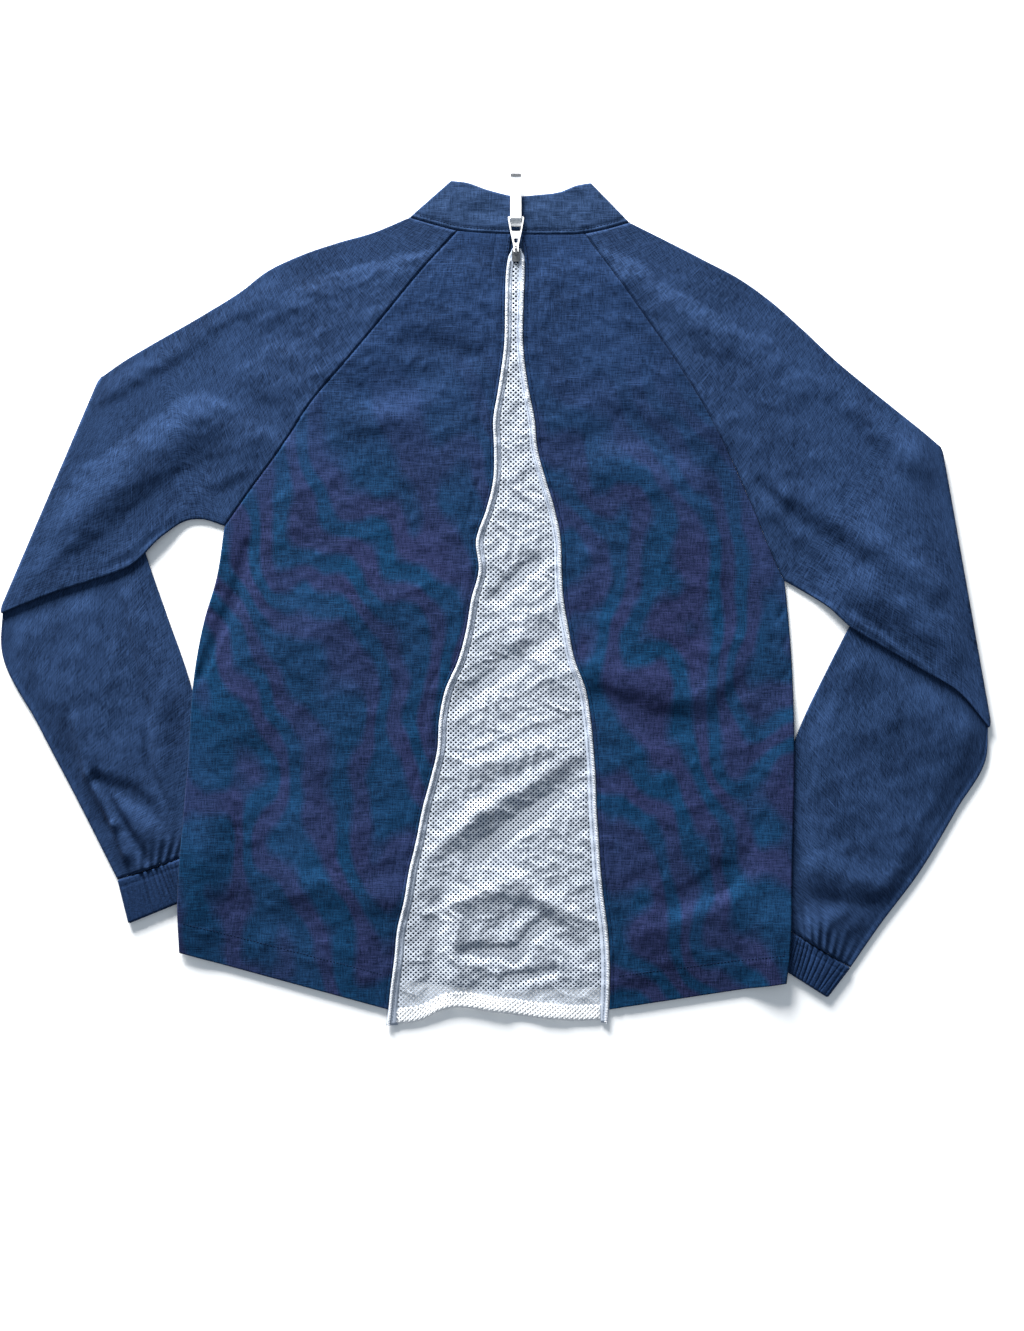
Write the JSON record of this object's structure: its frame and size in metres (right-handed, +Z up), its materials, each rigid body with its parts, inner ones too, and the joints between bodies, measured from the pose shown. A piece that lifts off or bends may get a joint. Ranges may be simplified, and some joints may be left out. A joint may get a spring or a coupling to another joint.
{
  "type": "fencing jacket",
  "caption": "Blue chambray raglan fencing jacket laid flat with its back up, sleeves folded under, the centre back zip open from the hem over a white sports-mesh wedge.",
  "frame": {"origin": "centre of the bounding box's bottom, on the table under the middle of the jacket", "axes": "+X across the jacket to the right as seen from above, +Y from the hem to the collar, +Z up from the table"},
  "size_m": [0.8932, 0.7668, 0.0104],
  "materials": {
    "chambray": "blue chambray, matt",
    "chambray_cuff": "blue chambray, doubled and gathered on elastic",
    "chambray_collar": "blue chambray, interlined",
    "zip_tape": "white woven zip tape",
    "mesh": "white knitted sports mesh",
    "slider_metal": "dark grey zinc alloy",
    "pull_metal": "white lacquer on zinc alloy",
    "ribbon": "white woven ribbon"
  },
  "bodies": {
    "jacket": {"back_left": "chambray", "back_right": "chambray", "front_left": "chambray", "front_right": "chambray", "sleeve_left": "chambray", "sleeve_right": "chambray", "cuff_left": "chambray_cuff", "cuff_right": "chambray_cuff", "collar": "chambray_collar", "zip_tape_left": "zip_tape", "zip_tape_right": "zip_tape", "mesh_godet": "mesh", "zip_slider": "slider_metal"},
    "pull": {"pull_tab": "pull_metal", "pull_ribbon": "ribbon"}
  },
  "joints": [
    {"name": "pull_hinge", "type": "hinge", "parent": "jacket", "child": "pull", "pos_m": [0.0184, 0.3135, 0.0056], "axis": [1, 0, 0], "range_deg": [0, 165]}
  ]
}
